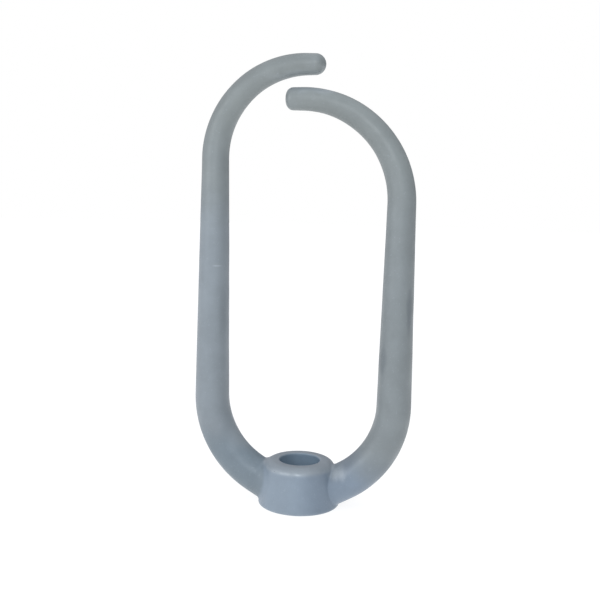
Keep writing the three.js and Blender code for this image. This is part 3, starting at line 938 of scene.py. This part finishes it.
class PADDLE_OT_arms(bpy.types.Operator):
    """Make the long and the short tapered arm"""
    bl_idname = "paddle.make_arms"
    bl_label = "Arms"

    def execute(self, context):
        arm = context.scene.paddle_arm
        wanted = [
            ("swept_arm_long", "long_arm", long_line(), arm.long_round, arm.long_thinning),
            ("swept_arm_short", "short_arm", short_line(), arm.short_round, 0.0),
        ]
        for name, node, line, tip_round, thinning in wanted:
            source = arm_spline(line, name + "_line", arm.tip_radius)
            values = {
                "Root Radius": line.radius(arm.hidden_root), "Tip Radius": arm.tip_radius,
                "Tip Round": tip_round, "Tip Thinning": thinning, "Thinning Reach": arm.thinning_reach,
                "Waviness": arm.waviness, "Wave Scale": 26.0, "Sides": arm.sides, "Material": cast_skin(),
            }
            mesh = run_tree(source, tapered_bar_tree(), values, name)
            tip = line.centre(line.length + arm.tip_radius)

            def wear_and_sheen(place, tip=tip):
                return 0.45 * falloff((place - tip).length, 16 * MM)

            store(mesh, "wear_and_sheen", wear_and_sheen)
            smoothed(mesh)
            finish_piece(name, mesh, cast_skin(), PADDLE_BODY, "cast_metal", node)
        return {"FINISHED"}


def bezier_point(handles, share):
    rest = 1 - share
    weights = (rest ** 3, 3 * rest ** 2 * share, 3 * rest * share ** 2, share ** 3)
    return sum((handle * weight for handle, weight in zip(handles, weights)), Vector((0, 0, 0)))


def weld_section(line, angle, crotch, flank, steps=12):
    """Closed section of a fillet at one angle round the arm: its face from arm to hub, then its root."""
    hub = bpy.context.scene.paddle_hub
    leg = crotch + (flank - crotch) * math.sin(angle) ** 2
    # Halve the stretch of the line in which the bar's surface leaves the hub.
    inside, outside = 0.0, line.arm.reach / 2
    for _ in range(40):
        middle = (inside + outside) / 2
        spot = line.surface(middle, angle)
        beyond = math.hypot(spot.x, spot.y) - hub_radius_at(spot.z)
        inside, outside = (middle, outside) if beyond < 0 else (inside, middle)
    corner = line.surface(inside, angle)
    outward = (corner - line.centre(inside)).normalized()
    arm_toe = line.surface(inside + leg, angle, -SINK)
    hub_toe = corner + outward * leg
    hub_toe.z = max(hub.base_round, min(hub.height - 0.1 * hub.rim_round, hub_toe.z))
    flat = Vector((hub_toe.x, hub_toe.y, 0))
    flat *= (hub_radius_at(hub_toe.z) - SINK) / flat.length
    hub_toe = Vector((flat.x, flat.y, hub_toe.z))
    level = flat.normalized()
    step_z = 0.1 * MM
    slope = (hub_radius_at(hub_toe.z + step_z) - hub_radius_at(hub_toe.z - step_z)) / (2 * step_z)
    hub_normal = (level - Vector((0, 0, slope))).normalized()
    to_corner = corner - hub_toe
    along_hub = (to_corner - hub_normal * to_corner.dot(hub_normal)).normalized()
    along_arm = (corner - arm_toe).normalized()
    reach = 0.62 * leg
    handles = (arm_toe, arm_toe + along_arm * reach, hub_toe + along_hub * reach, hub_toe)
    face = [bezier_point(handles, step / steps) for step in range(steps + 1)]
    depth = 2.5 * MM
    return face + [hub_toe - level * depth, corner - (level + outward) * depth, arm_toe - outward * depth]


class PADDLE_OT_welds(bpy.types.Operator):
    """Make the wide fillet of the long arm and the tight fillet of the short arm"""
    bl_idname = "paddle.make_welds"
    bl_label = "Root fillets"

    def execute(self, context):
        weld = context.scene.paddle_weld
        wanted = [
            ("root_fillet_long", "long_arm_weld", long_line(), weld.long_crotch, weld.long_flank),
            ("root_fillet_short", "short_arm_weld", short_line(), weld.short_crotch, weld.short_flank),
        ]
        for name, node, line, crotch, flank in wanted:
            bm = bmesh.new()
            sections = []
            for number in range(weld.slices):
                angle = 2 * math.pi * number / weld.slices
                points = weld_section(line, angle, crotch, flank)
                sections.append([bm.verts.new(point) for point in points])
            closed_round(bm, sections)
            mesh = mesh_from(bm, name)
            store(mesh, "wear_and_sheen", lambda place: 0.0)
            smoothed(mesh)
            finish_piece(name, mesh, cast_skin(), PADDLE_BODY, "weld_metal", node)
        return {"FINISHED"}


class PADDLE_OT_sleeve(bpy.types.Operator):
    """Make the keyed steel sleeve in the hub's base"""
    bl_idname = "paddle.make_sleeve"
    bl_label = "Shaft sleeve"

    def execute(self, context):
        small = context.scene.paddle_small
        radius = (sleeve_high.x - sleeve_low.x) / 2
        low, high = sleeve_low.z, sleeve_high.z
        inner, edge = small.sleeve_bore, small.sleeve_chamfer
        corners = [
            (inner + edge, low, 0), (radius - edge, low, 0), (radius, low + edge, 0),
            (radius, high - edge, 0), (radius - edge, high, 0), (inner + edge, high, 0),
            (inner, high - edge, 0), (inner, low + edge, 0),
        ]
        bm = turned_ring(divided(rounded_outline(corners), 2.5 * MM), 128)
        half = small.keyway_width / 2
        keyway = box_mesh(Vector((-half, 0, low - OVERCUT)),
                          Vector((half, inner + small.keyway_depth, high + OVERCUT)))
        clearance = 0.4 * MM
        hole = bar_mesh(screw_radius + clearance, Vector((0, OVERCUT, screw_height)),
                        Vector((0, radius + OVERCUT, screw_height)), 48)
        mesh = drilled(mesh_from(bm, "sleeve"), "sleeve", [keyway, hole])
        smoothed(mesh, math.radians(25))
        finish_piece("keyed_sleeve", mesh, turned_steel(), PADDLE_BODY, "sleeve_steel", "shaft_sleeve")
        return {"FINISHED"}


class PADDLE_OT_grub_screw(bpy.types.Operator):
    """Make the threaded grub screw with its cup point and hexagon socket"""
    bl_idname = "paddle.make_grub_screw"
    bl_label = "Grub screw"

    def execute(self, context):
        small = context.scene.paddle_small
        steel = blackened_steel()
        core = screw_radius - small.thread_height
        chamfer, cup, cup_depth = 0.5 * MM, 2.4 * MM, 1 * MM
        outline = [(0, cup_depth), (cup, 0), (core - chamfer / 2, 0), (core, chamfer),
                   (core, screw_length - chamfer), (core - chamfer / 2, screw_length), (0, screw_length)]
        bm = bmesh.new()
        line = [bm.verts.new((x, 0, z)) for x, z in outline]
        edges = [bm.edges.new(pair) for pair in zip(line, line[1:])]
        bmesh.ops.spin(bm, geom=line + edges, cent=(0, 0, 0), axis=(0, 0, 1), angle=2 * math.pi, steps=48,
                       use_duplicate=False)
        bmesh.ops.remove_doubles(bm, verts=bm.verts, dist=0.001 * MM)
        bottom = Vector((0, 0, screw_length - small.socket_depth))
        socket = bar_mesh(small.socket_flats / math.sqrt(3), bottom,
                          Vector((0, 0, screw_length + OVERCUT)), 6, math.pi / 6)
        body = drilled(mesh_from(bm, "grub_screw"), "grub_screw", [socket])
        smoothed(body, math.radians(30))
        values = {
            "Core Radius": core, "Thread Height": small.thread_height, "Pitch": small.thread_pitch,
            "Threaded Length": screw_length - 2.4 * chamfer, "Start": 1.2 * chamfer,
            "Material": steel,
        }
        mesh = run_tree(new_object("grub_screw_core", body), screw_thread_tree(), values, "grub_screw")
        bm = bmesh.new()
        bm.from_mesh(mesh)
        bmesh.ops.recalc_face_normals(bm, faces=bm.faces)
        bm.to_mesh(mesh)
        bm.free()
        store(mesh, "wear_and_sheen", lambda place: falloff(screw_radius - math.hypot(place.x, place.y), 0.35 * MM))
        lay = Matrix.Rotation(-math.pi / 2, 4, "X")
        mesh.transform(Matrix.Translation((0, screw_low.y, screw_height)) @ lay)
        finish_piece("set_screw", mesh, steel, SCREW_BODY, "screw_steel", "grub_screw")
        return {"FINISHED"}


def disc_light(name, place, aim, size, power):
    """Round soft lamp at a place, turned towards its aim."""
    light = bpy.data.lights.new(name, "AREA")
    light.shape = "DISK"
    light.size = size
    light.energy = power
    lamp = new_object(name, light)
    lamp.location = place
    lamp.rotation_euler = (Vector(aim) - Vector(place)).to_track_quat("-Z", "Y").to_euler()


class PADDLE_OT_stage(bpy.types.Operator):
    """Make the pale floor, the soft lights and the camera"""
    bl_idname = "paddle.make_stage"
    bl_label = "Stage"

    def execute(self, context):
        stage = context.scene.paddle_stage
        bm = bmesh.new()
        bmesh.ops.create_circle(bm, cap_ends=True, segments=96, radius=stage.floor_radius)
        floor_mesh = mesh_from(bm, "floor")
        floor_mesh.materials.append(studio_floor())
        if floor_mesh.polygons[0].normal.z < 0:
            floor_mesh.flip_normals()
        new_object("floor", floor_mesh)

        context.scene.world = studio_surroundings()
        context.scene.view_settings.view_transform = "Standard"
        disc_light("lamp", (0.135, -1.10, 0.59), (0, 0, hub_high.z), 0.12, stage.lamp_power)
        disc_light("key", (-1.00, -1.00, 0.55), (0, 0, 0.1), 0.7, stage.key_power)

        turn, tilt = stage.azimuth, stage.elevation
        back = Vector((math.sin(turn) * math.cos(tilt), -math.cos(turn) * math.cos(tilt), math.sin(tilt)))
        right = Vector((math.cos(turn), math.sin(turn), 0))
        target = right * stage.target_side + Vector((0, 0, stage.target_height))
        up = back.cross(right)
        rolled_right = right * math.cos(stage.roll) + up * math.sin(stage.roll)
        rolled_up = up * math.cos(stage.roll) - right * math.sin(stage.roll)
        camera_data = bpy.data.cameras.new("camera")
        camera_data.lens = stage.lens
        camera_data.sensor_width = 36.0
        camera_data.clip_start = 0.01
        camera = new_object("camera", camera_data)
        axes = Matrix((rolled_right, rolled_up, back)).transposed().to_4x4()
        camera.matrix_world = Matrix.Translation(target + back * stage.distance) @ axes
        context.scene.camera = camera
        return {"FINISHED"}


PIECES = (PADDLE_OT_hub, PADDLE_OT_arms, PADDLE_OT_welds, PADDLE_OT_sleeve, PADDLE_OT_grub_screw,
          PADDLE_OT_stage)


class PADDLE_PT_panel(bpy.types.Panel):
    """Lists the paddle's pieces"""
    bl_idname = "PADDLE_PT_panel"
    bl_label = "Mixing Paddle"
    bl_space_type = "VIEW_3D"
    bl_region_type = "UI"
    bl_category = "Paddle"

    def draw(self, context):
        for operator in PIECES:
            self.layout.operator(operator.bl_idname)
        for name, group in SETTINGS.items():
            box = self.layout.box()
            box.label(text=group.__doc__)
            for setting in group.__annotations__:
                box.prop(getattr(context.scene, name), setting)


def register():
    for group in SETTINGS.values():
        bpy.utils.register_class(group)
    for name, group in SETTINGS.items():
        setattr(bpy.types.Scene, name, bpy.props.PointerProperty(type=group))
    for operator in PIECES:
        bpy.utils.register_class(operator)
    bpy.utils.register_class(PADDLE_PT_panel)


def unregister():
    bpy.utils.unregister_class(PADDLE_PT_panel)
    for operator in reversed(PIECES):
        bpy.utils.unregister_class(operator)
    for name in SETTINGS:
        delattr(bpy.types.Scene, name)
    for group in SETTINGS.values():
        bpy.utils.unregister_class(group)


def main():
    register()
    bpy.ops.paddle.make_hub()
    bpy.ops.paddle.make_arms()
    bpy.ops.paddle.make_welds()
    bpy.ops.paddle.make_sleeve()
    bpy.ops.paddle.make_grub_screw()
    bpy.ops.paddle.make_stage()


if __name__ == "__main__":
    main()
